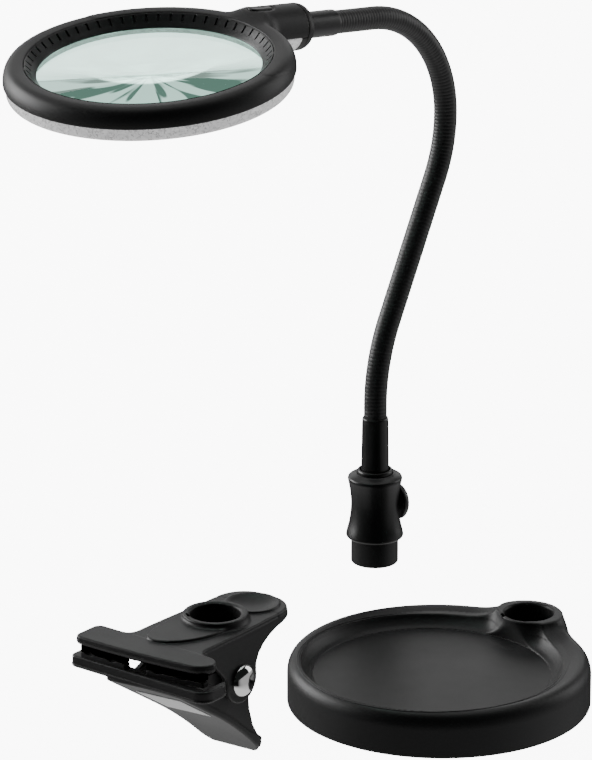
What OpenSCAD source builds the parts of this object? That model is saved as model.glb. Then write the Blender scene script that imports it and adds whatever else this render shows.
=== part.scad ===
// Magnifying lamp: a ring-lit lens on a gooseneck, with a weighted base and a table clamp.
// The plug under the grip fits the socket of the base and the socket of the clamp.
// Millimetres, +Z up. The origin is the centre of the base's underside.

/* [Base] */
// Outer radius of the base
base_r = 67; // [60:1:75]
// Height of the rim's crest
rim_h = 20.7; // [19:0.1:22]
// Radius of the tray's floor
tray_r = 52.3; // [45:0.1:53]
// Height of the tray's floor
tray_z = 14.5; // [14:0.1:16]
// How far the tray's centre is set away from the socket
tray_shift = 4.8; // [3:0.1:5]
// Wall of the moulded base shell
base_wall = 2.4; // [2:0.1:3]
// Distance from the base's centre to its socket
socket_reach = 59.5; // [58:0.5:61]
// Heading of the socket from the base's centre
socket_heading = 46; // [30:1:60]
// Top of the base's socket
base_socket_top = 25; // [24:0.5:26]

/* [Plug and sockets] */
// Radius of the plug
plug_r = 10.8; // [10:0.1:11]
// Exposed length of the plug
plug_len = 12; // [10:0.5:12]
// Radial clearance between the plug and a socket
plug_clearance = 0.15; // [0.05:0.05:0.3]
// Outer radius of a socket
socket_outer_r = 14; // [13.5:0.1:15]

/* [Lamp position] */
// Stem axis, X
stem_x = -27; // [-30:1:-24]
// Stem axis, Y
stem_y = 98.9; // [95:0.1:102]
// Height of the plug's lower end
plug_z = 28; // [26:0.5:35]
// Heading of the plane that the gooseneck bends in
plane_heading = 45; // [30:1:60]

/* [Gooseneck] */
// Radius of the gooseneck
neck_tube_r = 5.25; // [4.8:0.05:5.6]
// First straight stretch above the lower ferrule
run_a = 5.3; // [4:0.1:8]
// Radius of the first bend
bend_a_r = 90.7; // [80:0.1:110]
// Lean reached by the first bend, in degrees
lean = 25.4; // [15:0.1:30]
// Straight leaning stretch
run_b = 68; // [50:1:80]
// Radius of the bend back to upright
bend_b_r = 67; // [60:1:90]
// Radius of the bend over the top
bend_c_r = 53.1; // [50:0.1:60]
// Turn of the bend over the top, in degrees
top_turn = 83.8; // [75:0.1:88]
// Last straight stretch, up to the neck's end
run_c = 45.4; // [40:0.1:50]
// Exposed length of the upper ferrule
upper_ferrule_len = 20.3; // [15:0.1:25]

/* [Head] */
// Radius of the glass lens
lens_r = 50; // [48:0.5:50]
// Outer radius of the head
head_r = 62.4; // [61:0.1:64]
// Distance from the neck's end to the lens centre
neck_reach = 89.8; // [85:0.1:95]
// Height of the lens above the neck's end, square to the lens
neck_rise = 8; // [6:0.1:10]
// Angle between the neck and the lens plane
neck_bend = 12.3; // [8:0.1:16]
// Roll of the head about the neck
head_roll = 2.35; // [-5:0.05:5]
// Number of slots in the ring round the lens
slots = 60; // [40:1:72]
// Number of light-emitting diodes
led_count = 30; // [20:1:36]

/* [Clamp] */
// Clamp socket axis, X
clamp_x = -97.3; // [-100:0.1:-95]
// Clamp socket axis, Y
clamp_y = -62; // [-65:0.5:-60]
// Heading from the jaw to the tail
clamp_heading = 52; // [45:1:60]
// Height of the clamp's top plate
plate_z = 63; // [62:0.5:64]
// Half-width across the jaw
jaw_half = 34; // [30:0.5:36]
// Slope of the lower lever, in degrees
lever_slope = 33.5; // [30:0.5:36]

/* [Hidden] */
$fn = 64;
fine = 128;
gap = 0.1;

// Colours
black = [0.07, 0.07, 0.075];
rubber = [0.03, 0.03, 0.03];
steel = [0.62, 0.63, 0.65];
chrome = [0.85, 0.85, 0.87];
silver = [0.75, 0.75, 0.76];
glass = [0.72, 0.85, 0.82, 0.45];
board_green = [0.1, 0.35, 0.2];
led_white = [0.95, 0.93, 0.8];

// ---- Shared helpers ----

socket_bore_r = plug_r + plug_clearance;
socket_depth = plug_len + 0.4;
grip_z = plug_z + plug_len;

module screw(shank_r, shank_l, head_r, head_h) {
    translate([0, 0, -head_h]) cylinder(r = head_r, h = head_h);
    cylinder(r = shank_r, h = shank_l);
}

// A round bar along +X from x0 to x1
module bar_x(r, x0, x1) {
    translate([x0, 0, 0]) rotate([0, 90, 0]) cylinder(r = r, h = x1 - x0);
}

// Points of an arc, from angle a0 to a1
function arc(cx, cy, r, a0, a1, n) =
    [for (i = [0:n]) let (a = a0 + (a1 - a0) * i / n) [cx + r * cos(a), cy + r * sin(a)]];

// ---- Base ----

base_floor_z = 0.6;
pad_h = 1.5;
cover_h = 1.7;
crest_r = base_r - 5;
wall_top_z = rim_h - 7.2;
cavity_top = tray_z - base_wall;
socket_floor_z = base_socket_top - socket_depth;
ballast_r = 45;
screw_ring_r = 48.5;
screw_post_r = 2.4;
base_screw_count = 4;

module at_base_socket() {
    rotate([0, 0, socket_heading]) translate([socket_reach, 0, 0]) children();
}

module base_body_profile() {
    polygon([[0, base_floor_z], [base_r - 0.6, base_floor_z], [base_r, base_floor_z + 0.6],
        [base_r, wall_top_z], [base_r - 0.8, wall_top_z + 3.4], [base_r - 2.4, wall_top_z + 6],
        [crest_r, rim_h], [0, rim_h]]);
}

module tray_profile() {
    polygon([[0, tray_z], [tray_r, tray_z], [tray_r + 1.6, tray_z + 1],
        [tray_r + 4.2, rim_h - 1.5], [tray_r + 4.7, rim_h + 0.1], [tray_r + 4.7, rim_h + 10],
        [0, rim_h + 10]]);
}

module at_base_screws() for (i = [0:base_screw_count - 1]) rotate([0, 0, 90 * i])
    translate([screw_ring_r, 0, 0]) children();

module socket_flare() at_base_socket() translate([0, 0, cavity_top + 1])
    cylinder(r1 = 17.5, r2 = socket_outer_r - 0.8, h = 24.2 - cavity_top - 1);

module base_shell() color(black) difference() {
    union() {
        difference() {
            union() {
                rotate_extrude($fn = fine) base_body_profile();
                intersection() {
                    socket_flare();
                    translate([0, 0, cavity_top + 0.5]) cylinder(r = base_r - 1, h = 20, $fn = fine);
                }
            }
            rotate([0, 0, socket_heading]) translate([-tray_shift, 0, 0])
                rotate_extrude($fn = fine) tray_profile();
        }
        at_base_socket() translate([0, 0, base_floor_z])
            cylinder(r = socket_outer_r, h = base_socket_top - base_floor_z);
    }
    difference() {
        translate([0, 0, -1]) cylinder(r = base_r - base_wall, h = cavity_top + 1, $fn = fine);
        at_base_socket() translate([0, 0, socket_floor_z - base_wall])
            cylinder(r = socket_outer_r, h = 20);
        at_base_screws() translate([0, 0, pad_h + cover_h + gap])
            cylinder(r = screw_post_r, h = 20);
    }
    at_base_socket() translate([0, 0, socket_floor_z]) cylinder(r = socket_bore_r, h = 20);
    at_base_socket() translate([0, 0, base_socket_top - 0.7])
        cylinder(r1 = socket_bore_r, r2 = socket_bore_r + 0.8, h = 0.8);
    at_base_socket() rotate([0, 0, 195 - socket_heading])
        translate([socket_bore_r - 0.5, -1.6, base_socket_top - 1.6]) cube([2, 3.2, 3]);
    at_base_screws() cylinder(r = 1.15, h = 10.5);
}

module base_ballast() color(steel) translate([0, 0, pad_h + cover_h + gap])
    cylinder(r = ballast_r, h = cavity_top - pad_h - cover_h - 3 * gap, $fn = fine);

module base_cover() color(black) difference() {
    translate([0, 0, pad_h]) cylinder(r = base_r - base_wall - gap, h = cover_h, $fn = fine);
    at_base_screws() cylinder(r = 1.5, h = 5);
    at_base_screws() cylinder(r = 2.6, h = pad_h + 1);
}

module base_foot_pad() color(rubber) cylinder(r = base_r - 5, h = pad_h, $fn = fine);

module base_screws() color(steel) at_base_screws() translate([0, 0, pad_h + 1])
    screw(1.1, 7, 2.4, 0.9);

// ---- Stem: plug, grip and inlet ----

inlet_heading = 25;
inlet_z = grip_z + 15.6;
grip_bore_r = 9;
collar_top = grip_z + 33.1;
bush_z = grip_z + 23.4;
bush_top = grip_z + 28;
ferrule_r = 6.35;
ferrule_z = grip_z + 20.5;
ferrule_top = plug_z + 70;
cable_r = 1.2;
cable_bore_r = 2.1;
post_r = 7.2;

module at_stem() translate([stem_x, stem_y, 0]) children();
module at_inlet() at_stem() translate([0, 0, inlet_z]) rotate([0, 0, inlet_heading]) children();

module plug() color(black) at_stem() difference() {
    union() {
        translate([0, 0, plug_z]) cylinder(r1 = plug_r - 0.5, r2 = plug_r, h = 0.5);
        translate([0, 0, plug_z + 0.5]) cylinder(r = plug_r, h = plug_len - 0.5);
        translate([0, 0, grip_z]) cylinder(r = grip_bore_r - gap, h = 5);
    }
    translate([0, 0, plug_z - 1]) cylinder(r = 8.4, h = plug_len + 1);
    translate([0, 0, plug_z]) cylinder(r = 2.5, h = 30);
    for (s = [-1, 1]) translate([0, s * post_r, grip_z - 1]) cylinder(r = 1.3, h = 10);
    for (s = [-1, 1]) translate([0, s * post_r, grip_z - 1]) cylinder(r = 2.1, h = 4);
}

module grip() color(black) difference() {
    at_stem() union() {
        difference() {
            translate([0, 0, grip_z]) rotate_extrude($fn = fine) polygon([[0, 0.02], [12.5, 0.02],
                [13.3, 1.2], [12.7, 3.6], [11.9, 6.6], [11.2, 10.6], [10.9, 14], [10.85, 16.5],
                [11.05, 20], [11.6, 24], [12.2, 26.8], [12.55, 28.4], [12.4, 29.2], [11.2, 30],
                [9.4, 30.8], [8.9, 31.2], [0, 31.2]]);
            translate([0, 0, grip_z - 1]) cylinder(r = grip_bore_r, h = bush_top - grip_z + 1 + gap);
        }
        intersection() {
            translate([0, 0, grip_z + 5 + gap]) cylinder(r = grip_bore_r + 0.5, h = 4.5);
            for (s = [-1, 1]) translate([0, s * post_r, grip_z]) cylinder(r = 2.3, h = 12);
        }
    }
    at_stem() translate([0, 0, bush_top]) cylinder(r = 8.25, h = 10);
    for (s = [-1, 1]) at_stem() translate([0, s * post_r, grip_z + 4]) cylinder(r = 1.15, h = 7);
    at_inlet() bar_x(6.6, 0, 20);
}

module collar_ring() color(black) at_stem() difference() {
    translate([0, 0, bush_top + gap]) rotate_extrude() polygon([[7, 0], [8.15, 0],
        [8.15, collar_top - bush_top - 0.9], [7.7, collar_top - bush_top - gap],
        [7, collar_top - bush_top - gap]]);
}

module swivel_bush() color(silver) at_stem() difference() {
    translate([0, 0, bush_z]) cylinder(r = grip_bore_r - 0.05, h = bush_top - bush_z);
    translate([0, 0, bush_z - 1]) cylinder(r = ferrule_r + 0.05, h = 20);
}

module stem_screws() color(steel) at_stem() for (s = [-1, 1])
    translate([0, s * post_r, grip_z + 3]) screw(1.1, 6, 1.7, 1.5);

module power_inlet() color(black) at_inlet() rotate([0, 90, 0]) rotate_extrude() polygon([
    [4.35, 8.4], [6.5, 8.4], [6.5, 12], [8.4, 12], [7.9, 13], [6.6, 14.2], [4.8, 15],
    [2.9, 15.4], [2.9, 14], [4.35, 13.9]]);

module inlet_jack() color(steel) at_inlet() union() {
    difference() {
        bar_x(4.25, 3, 13.8);
        bar_x(2.85, 5, 20);
    }
    bar_x(1, 3, 13);
}

// ---- Lower ferrule ----

module lower_ferrule() color(black) at_stem() difference() {
    translate([0, 0, ferrule_z]) rotate_extrude() polygon([[0, 0], [ferrule_r, 0],
        [ferrule_r, 1.6], [5.6, 1.6], [5.6, 2.7], [ferrule_r, 2.7],
        [ferrule_r, collar_top - ferrule_z], [5.9, ferrule_top - ferrule_z - 0.6],
        [5.5, ferrule_top - ferrule_z - gap], [0, ferrule_top - ferrule_z - gap]]);
    translate([0, 0, ferrule_z - 1]) cylinder(r = cable_bore_r, h = 60);
    translate([0, 0, ferrule_top - 14]) cylinder(r = 4.3, h = 20);
}

module ferrule_clip() color(steel) at_stem() difference() {
    translate([0, 0, ferrule_z + 1.65]) cylinder(r = 7.8, h = 1);
    translate([0, 0, ferrule_z]) cylinder(r = 5.62, h = 5);
    translate([0, -1.5, ferrule_z]) cube([10, 3, 5]);
}

module ferrule_cable() color(rubber) at_stem() translate([0, 0, ferrule_z + 1])
    cylinder(r = cable_r, h = ferrule_top - ferrule_z - 2);

// ---- Gooseneck ----
// The centre line is a chain of stretches [length, turn]: it starts upright at the lower
// ferrule's top, leans over, comes back upright and turns over the top to the head.

stretches = [
    [run_a, 0],
    [bend_a_r * lean * PI / 180, lean],
    [run_b, 0],
    [bend_b_r * lean * PI / 180, -lean],
    [bend_c_r * top_turn * PI / 180, -top_turn],
    [run_c, 0]
];

// Walks s millimetres along the chain and gives [u, z, heading from upright]
function walk(s, i = 0, u = 0, z = 0, a = 0) =
    let (run = stretches[i][0], turn = stretches[i][1], last = i == len(stretches) - 1,
        d = last ? s : min(s, run), t = turn * d / run, r = turn == 0 ? 0 : run * 180 / (turn * PI),
        du = turn == 0 ? d * sin(a) : r * (cos(a) - cos(a + t)),
        dz = turn == 0 ? d * cos(a) : r * (sin(a + t) - sin(a)))
    (last || s <= run) ? [u + du, z + dz, a + t] : walk(s - run, i + 1, u + du, z + dz, a + t);

segments = 12;
path_len = stretches[0][0] + stretches[1][0] + stretches[2][0] + stretches[3][0]
    + stretches[4][0] + stretches[5][0];
flex_len = path_len - upper_ferrule_len;
pitch = flex_len / segments;
ball_r = neck_tube_r - 0.1;
ball_clearance = 0.05;
rim_gap = 2;

// Children are placed in the gooseneck's plane: +X away from the head, +Z up
module at_plane() translate([stem_x, stem_y, ferrule_top]) rotate([0, 0, plane_heading]) children();

// Children are placed at distance s along the centre line, with +Z along it
module on_path(s) {
    p = walk(s);
    at_plane() translate([p[0], 0, p[1]]) rotate([0, p[2], 0]) children();
}

// Children are placed with +Z along the chord from joint k to joint k + 1
module on_chord(k) {
    p = walk(k * pitch);
    q = walk((k + 1) * pitch);
    at_plane() translate([p[0], 0, p[1]]) rotate([0, atan2(q[0] - p[0], q[1] - p[1]), 0]) children();
}

function chord_len(k) = let (p = walk(k * pitch), q = walk((k + 1) * pitch))
    norm([q[0] - p[0], q[1] - p[1]]);

// One length of gooseneck: a ball at its lower joint and a cup round its upper joint
module gooseneck_segment(k) color(black) difference() {
    union() {
        on_chord(k) cylinder(r = neck_tube_r, h = chord_len(k));
        if (k > 0) on_path(k * pitch) sphere(r = ball_r, $fn = fine);
        if (k == 0) on_path(0) translate([0, 0, -13.5]) cylinder(r = 4.2, h = 13.8);
        if (k == segments - 1) on_path(flex_len) translate([0, 0, -0.3]) cylinder(r = 4.2, h = 10);
    }
    if (k < segments - 1) {
        on_path((k + 1) * pitch) sphere(r = ball_r + ball_clearance, $fn = fine);
        on_path((k + 1) * pitch) translate([0, 0, -rim_gap]) cylinder(r = 8, h = 12);
    }
    if (k == 0) on_path(0) difference() {
        translate([0, 0, -15]) cylinder(r = 9, h = 15);
        translate([0, 0, -16]) cylinder(r = 4.2, h = 17);
    }
    if (k == segments - 1) on_path(flex_len) difference() {
        cylinder(r = 9, h = 15);
        translate([0, 0, -1]) cylinder(r = 4.2, h = 17);
    }
    on_chord(k) translate([0, 0, -20]) cylinder(r = cable_bore_r, h = chord_len(k) + 40);
}

module gooseneck_01() gooseneck_segment(0);
module gooseneck_02() gooseneck_segment(1);
module gooseneck_03() gooseneck_segment(2);
module gooseneck_04() gooseneck_segment(3);
module gooseneck_05() gooseneck_segment(4);
module gooseneck_06() gooseneck_segment(5);
module gooseneck_07() gooseneck_segment(6);
module gooseneck_08() gooseneck_segment(7);
module gooseneck_09() gooseneck_segment(8);
module gooseneck_10() gooseneck_segment(9);
module gooseneck_11() gooseneck_segment(10);
module gooseneck_12() gooseneck_segment(11);

// ---- Neck and head ----
// at_neck: +Z along the gooseneck's end towards the head, origin at the neck's open end.
// at_head: origin at the lens, +X towards the neck, +Z square to the lens.

collar_len = 5;
neck_r = 10.5;
neck_wall = 1.8;
split_z = -2.5;
button_x = -26.5;

module at_neck() {
    p = walk(path_len);
    at_plane() translate([p[0], 0, p[1]]) rotate([0, p[2] + 90, 0]) rotate([head_roll, 0, 0])
        children();
}

module at_head() at_neck() rotate([0, -neck_bend, 0]) translate([-neck_reach, 0, neck_rise])
    children();

// Radii and heights of the head's parts, from the lens plane
ring_r = lens_r + 3;
housing_bottom = -3;
diffuser_bottom = -8.9;
lens_edge_top = -0.7;
lens_edge = 2;
lens_sag = 3.6;
carrier_top = lens_edge_top - lens_edge - gap;
carrier_h = 1.6;
board_top = carrier_top - carrier_h - gap;
board_h = 1.2;
board_mid_r = 56;
head_screw_count = 6;

module upper_ferrule() color(black) difference() {
    at_neck() union() {
        bar_x(5.9, 0.3, upper_ferrule_len - gap);
        bar_x(5.8, -6.2, 0.3);
        bar_x(8, -7.6, -collar_len - gap);
    }
    at_neck() bar_x(cable_bore_r, -20, 60);
    at_neck() bar_x(4.3, upper_ferrule_len - 11, 60);
}

module neck_collar() color(black) at_neck() difference() {
    translate([-collar_len, 0, 0]) rotate([0, 90, 0]) rotate_extrude() polygon([[0, 0],
        [neck_r + 0.4, 0], [neck_r + 0.4, collar_len - 1.4], [neck_r - 0.8, collar_len],
        [0, collar_len]]);
    bar_x(5.95, -20, 20);
}

module neck_barrel(inset) at_neck() bar_x(neck_r - inset, -35, inset > 0 ? 0 : -collar_len - gap);

// Half of the ring-shaped housing's section, or of its hollow when inset is the wall
module head_ring_profile(inset) {
    low = housing_bottom - (inset > 0 ? 1 : 0);
    polygon([[ring_r, low], [head_r - inset, low], [head_r - inset, 0.2],
        [head_r - 0.9 - inset, 2.6 - inset / 3], [head_r - 2.6 - inset / 2, 4.4 - inset / 2],
        [head_r - 5.4, 5.4 - inset], [ring_r, 5.1 - inset]]);
}

// Everything below, or above, the plane where the housing meets the lower cover
module below_split(shift) at_neck() translate([-60, -30, split_z + shift - 40]) cube([80, 60, 40]);
module above_split(shift) at_neck() translate([-60, -30, split_z + shift]) cube([80, 60, 40]);

module button_form(grow, h) at_neck() translate([button_x, 0, neck_r - h]) linear_extrude(20)
    hull() for (s = [-1, 1]) translate([3.2 * s, 0]) circle(r = 3 + grow);

module head_screw_places() at_head() for (i = [0:head_screw_count - 1])
    rotate([0, 0, 60 * i + 30]) translate([board_mid_r, 0, 0]) children();

module head_housing() color(black) difference() {
    union() {
        at_head() rotate_extrude($fn = fine) difference() {
            head_ring_profile(0);
            head_ring_profile(neck_wall);
        }
        difference() {
            neck_barrel(0);
            neck_barrel(neck_wall);
            below_split(0);
            at_head() rotate_extrude($fn = fine) polygon([[0, -20], [head_r - 0.9, -20],
                [head_r - 0.9, 0.5], [head_r - 4.4, 4.2], [head_r - 5.4, 5], [head_r - 5.4, 20],
                [0, 20]]);
        }
        head_screw_places() translate([0, 0, carrier_top + gap])
            cylinder(r = 2.4, h = 4.3 - carrier_top);
    }
    head_screw_places() translate([0, 0, -6]) cylinder(r = 1.05, h = 8.5);
    at_neck() bar_x(3, -36, -20);
    button_form(0.2, 4);
}

module lens_ring() color(black) at_head() difference() {
    rotate_extrude($fn = fine) polygon([[lens_r - 2.1, 0], [ring_r - 0.3, 5.05],
        [ring_r - gap, 4.6], [ring_r - gap, carrier_top + gap], [lens_r + 0.3, carrier_top + gap],
        [lens_r + 0.3, lens_edge_top + 0.1], [lens_r - 2.1, lens_edge_top + 0.35]]);
    for (i = [0:slots - 1]) rotate([0, 0, 360 * i / slots])
        translate([lens_r - 0.2, -0.35, 2.6]) cube([3, 0.7, 4]);
}

// Half of the lens's section, with sides of equal curve
lens_curve_r = (lens_r * lens_r + lens_sag * lens_sag) / (2 * lens_sag);
lens_half_angle = asin(lens_r / lens_curve_r);
module lens() color(glass) at_head() rotate_extrude($fn = fine) polygon(concat(
    arc(0, lens_edge_top + lens_sag - lens_curve_r, lens_curve_r, 90, 90 - lens_half_angle, 16),
    arc(0, lens_edge_top - lens_edge - lens_sag + lens_curve_r, lens_curve_r,
        lens_half_angle - 90, -90, 16)));

module lens_carrier() color(silver) at_head() difference() {
    translate([0, 0, carrier_top - carrier_h]) cylinder(r = head_r - 2.9, h = carrier_h, $fn = fine);
    translate([0, 0, -20]) cylinder(r = lens_r - 1.6, h = 40, $fn = fine);
    translate([0, 0, carrier_top - 0.5]) cylinder(r1 = lens_r - 2.6, r2 = lens_r + 0.4, h = 0.6,
        $fn = fine);
    for (i = [0:head_screw_count - 1]) rotate([0, 0, 60 * i + 30])
        translate([board_mid_r, 0, -20]) cylinder(r = 1.3, h = 40);
}

module led_board() color(board_green) at_head() difference() {
    translate([0, 0, board_top - board_h]) cylinder(r = head_r - 3.4, h = board_h, $fn = fine);
    translate([0, 0, -20]) cylinder(r = lens_r + 2.5, h = 40, $fn = fine);
    for (i = [0:head_screw_count - 1]) rotate([0, 0, 60 * i + 30])
        translate([board_mid_r, 0, -20]) cylinder(r = 1.3, h = 40);
}

module leds() color(led_white) at_head() for (i = [0:led_count - 1])
    rotate([0, 0, 360 * i / led_count]) translate([board_mid_r - 1.4, -1.75, board_top - board_h - 0.9])
        cube([2.8, 3.5, 0.85]);

module diffuser() color(silver) at_head() rotate_extrude($fn = fine) polygon([
    [head_r - 0.9, housing_bottom - gap], [head_r - 1.1, diffuser_bottom + 1],
    [head_r - 2.2, diffuser_bottom], [lens_r - 1.5, diffuser_bottom],
    [lens_r - 1.5, carrier_top - carrier_h - gap], [lens_r - 0.2, carrier_top - carrier_h - gap],
    [lens_r - 0.2, diffuser_bottom + 1.3], [head_r - 3, diffuser_bottom + 1.3],
    [head_r - 2.5, housing_bottom - gap]]);

module neck_cover() color(silver) difference() {
    neck_barrel(0);
    neck_barrel(neck_wall);
    above_split(-gap);
    at_head() translate([0, 0, -30]) cylinder(r = head_r + 0.3, h = 60, $fn = fine);
}

module head_screws() color(steel) head_screw_places()
    translate([0, 0, board_top - board_h - 0.05]) screw(1, 5.6, 2, 1.1);

module power_button() color([0.12, 0.12, 0.12]) intersection() {
    button_form(0, 2.6);
    at_neck() bar_x(neck_r - 0.2, -60, 0);
}

module switch_body() color(black) at_neck() translate([button_x - 1.9, -3.5, neck_r - 7.6])
    cube([7, 7, 3.9]);

module switch_board() color(board_green) at_neck() translate([button_x - 1.2, -5.5, neck_r - 9])
    cube([15, 11, 1.2]);

module head_cable() color(rubber) at_neck() bar_x(cable_r, -27, upper_ferrule_len - 1);

// ---- Clamp ----
// Local frame: origin on the socket's axis at floor level, +X from the jaw to the tail.

jaw_x = -48;
jaw_back = -30;
waist_half = 19.6;
tail_x = 37.5;
tail_half = 14;
plate_h = 3;
lip_h = 4.3;
pad_t = 2.4;
ear_t = 2.6;
pivot_x = -8;
pivot_z = plate_z - 20;
pivot_r = 2.4;
cap_r = 7;
cap_h = 3.4;
spring_r = 6.2;
wire_r = 0.9;
clamp_socket_top = plate_z + 4.5;
lower_half = waist_half - ear_t - 0.3;
lower_lip_h = 5.4;
lower_jaw_top = plate_z - lip_h - 2 * pad_t - gap;
lever_h = 3;
lever_len = 84;

module at_clamp() translate([clamp_x, clamp_y, 0]) rotate([0, 0, clamp_heading]) children();

// Outline of the upper plate, with round corners
module plate_outline() union() {
    hull() {
        for (s = [-1, 1]) translate([jaw_x + 5, s * (jaw_half - 5)]) circle(r = 5);
        for (s = [-1, 1]) translate([jaw_back - 3, s * (jaw_half - 3)]) circle(r = 3);
    }
    hull() {
        for (s = [-1, 1]) translate([jaw_back - 4, s * (waist_half - 2)]) circle(r = 2);
        for (s = [-1, 1]) translate([14, s * (waist_half - 5)]) circle(r = 3);
        for (s = [-1, 1]) translate([tail_x - 9, s * (tail_half - 9)]) circle(r = 9);
    }
}

// Side view of an ear that runs from the plate's tail down round the pivot
module ear_outline() union() {
    hull() {
        translate([pivot_x, pivot_z]) circle(r = 10);
        translate([pivot_x - 8, plate_z - 3]) square([22, 1]);
    }
    polygon([[pivot_x + 4, plate_z - 2], [14, plate_z - 2], [14, plate_z - 9],
        [8, plate_z - 15], [pivot_x + 7, plate_z - 24]]);
}

module clamp_upper_jaw() color(black) at_clamp() difference() {
    union() {
        translate([0, 0, plate_z - plate_h]) linear_extrude(plate_h) plate_outline();
        translate([0, 0, plate_z - lip_h]) linear_extrude(lip_h) hull() {
            for (s = [-1, 1]) translate([jaw_x + 5, s * (jaw_half - 5)]) circle(r = 5);
            for (s = [-1, 1]) translate([jaw_back - 3, s * (jaw_half - 3)]) circle(r = 3);
        }
        for (s = [0, 1]) mirror([0, s, 0]) translate([0, waist_half, 0]) rotate([90, 0, 0])
            linear_extrude(ear_t) ear_outline();
        translate([0, 0, clamp_socket_top - socket_depth - 2])
            cylinder(r = socket_outer_r - 0.6, h = 5);
        translate([0, 0, clamp_socket_top - socket_depth - 1])
            cylinder(r = socket_outer_r, h = socket_depth + 1);
        translate([tail_x - 7, 0, plate_z - 5]) intersection() {
            cylinder(r = 12, h = 5);
            translate([2, -tail_half + 2, 0]) cube([20, 2 * tail_half - 4, 5]);
        }
    }
    translate([0, 0, clamp_socket_top - socket_depth]) cylinder(r = socket_bore_r, h = 30);
    translate([0, 0, clamp_socket_top - 0.7])
        cylinder(r1 = socket_bore_r, r2 = socket_bore_r + 0.8, h = 0.8);
    rotate([0, 0, 195 - clamp_heading]) translate([socket_bore_r - 0.5, -1.6, clamp_socket_top - 1.6])
        cube([2, 3.2, 3]);
    translate([pivot_x, 40, pivot_z]) rotate([90, 0, 0]) cylinder(r = pivot_r + 0.02, h = 80);
    translate([tail_x - 14, 0, plate_z + 26]) sphere(r = 27.2, $fn = fine);
}

// A scalloped rubber strip, teeth up
module pad_strip() difference() {
    translate([jaw_x + 1.5, -(jaw_half - 3), 0]) cube([12, 2 * (jaw_half - 3), pad_t]);
    for (y = [-18.5:12:30]) translate([jaw_x, y, pad_t + 2.9]) rotate([0, 90, 0])
        cylinder(r = 4.5, h = 20);
}

module upper_jaw_pad() color(rubber) at_clamp() translate([0, 0, plate_z - lip_h])
    mirror([0, 0, 1]) pad_strip();

module lower_jaw_pad() color(rubber) at_clamp() translate([0, 0, lower_jaw_top]) pad_strip();

module pivot_pin() color(steel) at_clamp() translate([pivot_x, waist_half + 1, pivot_z])
    rotate([90, 0, 0]) cylinder(r = pivot_r, h = 2 * waist_half + 2);

module pivot_caps() color(chrome) at_clamp() translate([pivot_x, 0, pivot_z]) for (s = [0, 1])
    mirror([0, s, 0]) difference() {
        rotate([-90, 0, 0]) intersection() {
            ball_r = (cap_r * cap_r + cap_h * cap_h) / (2 * cap_h);
            translate([0, 0, waist_half + cap_h - ball_r]) sphere(r = ball_r, $fn = fine);
            translate([0, 0, waist_half + 0.05]) cylinder(r = cap_r, h = 10);
        }
        rotate([-90, 0, 0]) cylinder(r = pivot_r + 0.02, h = waist_half + 1.1);
    }

// Torsion spring: a helix round the pin, with one leg on the lever and one under the plate
spring_turns = 5.786;
spring_pitch = 2.1;
spring_start = 20;
wire_sides = 8;
helix_steps = 20;
leg_len = 34;
function helix_point(t) = [spring_r * cos(360 * t + spring_start),
    spring_r * sin(360 * t + spring_start), (t - spring_turns / 2) * spring_pitch];
function tangent_leg(t, side) = let (a = 360 * t + spring_start + side * 90)
    helix_point(t) + leg_len * [cos(a), sin(a), 0];
spring_line = concat(
    [tangent_leg(0, -1)],
    [for (i = [0:spring_turns * helix_steps]) helix_point(i / helix_steps)],
    [helix_point(spring_turns)],
    [tangent_leg(spring_turns, 1)]);

module sweep(line, r, sides) {
    n = len(line);
    ring = [for (i = [0:n - 1]) let (a = line[max(i - 1, 0)], b = line[min(i + 1, n - 1)],
        t = (b - a) / norm(b - a), e = cross(t, [0, 0, 1]) / norm(cross(t, [0, 0, 1])), f = cross(t, e))
        for (j = [0:sides - 1]) line[i] + r * (cos(360 * j / sides) * e + sin(360 * j / sides) * f)];
    skin = [for (i = [0:n - 2]) for (j = [0:sides - 1])
        [i * sides + j, i * sides + (j + 1) % sides, (i + 1) * sides + (j + 1) % sides,
            (i + 1) * sides + j]];
    caps = [[for (j = [sides - 1:-1:0]) j], [for (j = [0:sides - 1]) (n - 1) * sides + j]];
    polyhedron(points = ring, faces = concat(skin, caps), convexity = 8);
}

module torsion_spring() color(steel) at_clamp() translate([pivot_x, 0, pivot_z])
    rotate([90, 0, 0]) sweep(spring_line, wire_r, wire_sides);

// Children are placed with +X down the lever's slope and +Z out of its inner face
lever_x = -41.3;
lever_z = 41.9;
module at_lever() translate([lever_x, 0, lever_z]) rotate([0, lever_slope, 0]) children();

module lower_ear_outline() hull() {
    translate([pivot_x, pivot_z]) circle(r = 8);
    translate([-31, lower_jaw_top - 7]) circle(r = 3);
    translate([6, 14]) circle(r = 3);
    translate([-20, 30]) circle(r = 3);
}

module clamp_lower_jaw() color(black) at_clamp() difference() {
    union() {
        translate([0, 0, lower_jaw_top - lower_lip_h]) linear_extrude(lower_lip_h) hull() {
            for (s = [-1, 1]) translate([jaw_x + 4, s * (jaw_half - 5)]) circle(r = 5);
            for (s = [-1, 1]) translate([jaw_back - 5, s * (jaw_half - 3)]) circle(r = 3);
        }
        at_lever() linear_extrude(lever_h) hull() {
            for (s = [-1, 1]) translate([0, s * (lower_half - 2)]) circle(r = 2);
            for (s = [-1, 1]) translate([lever_len - 16, s * (tail_half - 9)]) circle(r = 9);
        }
        for (s = [0, 1]) mirror([0, s, 0]) translate([0, lower_half, 0]) rotate([90, 0, 0])
            linear_extrude(ear_t) lower_ear_outline();
    }
    translate([pivot_x, 40, pivot_z]) rotate([90, 0, 0]) cylinder(r = pivot_r + 0.06, h = 80);
    translate([-200, -100, -50]) cube([400, 200, 50]);
}

module clamp_label() color(silver) at_clamp() at_lever() translate([0.5, -13.3, -0.35])
    cube([25.2, 26.6, 0.3]);

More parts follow.
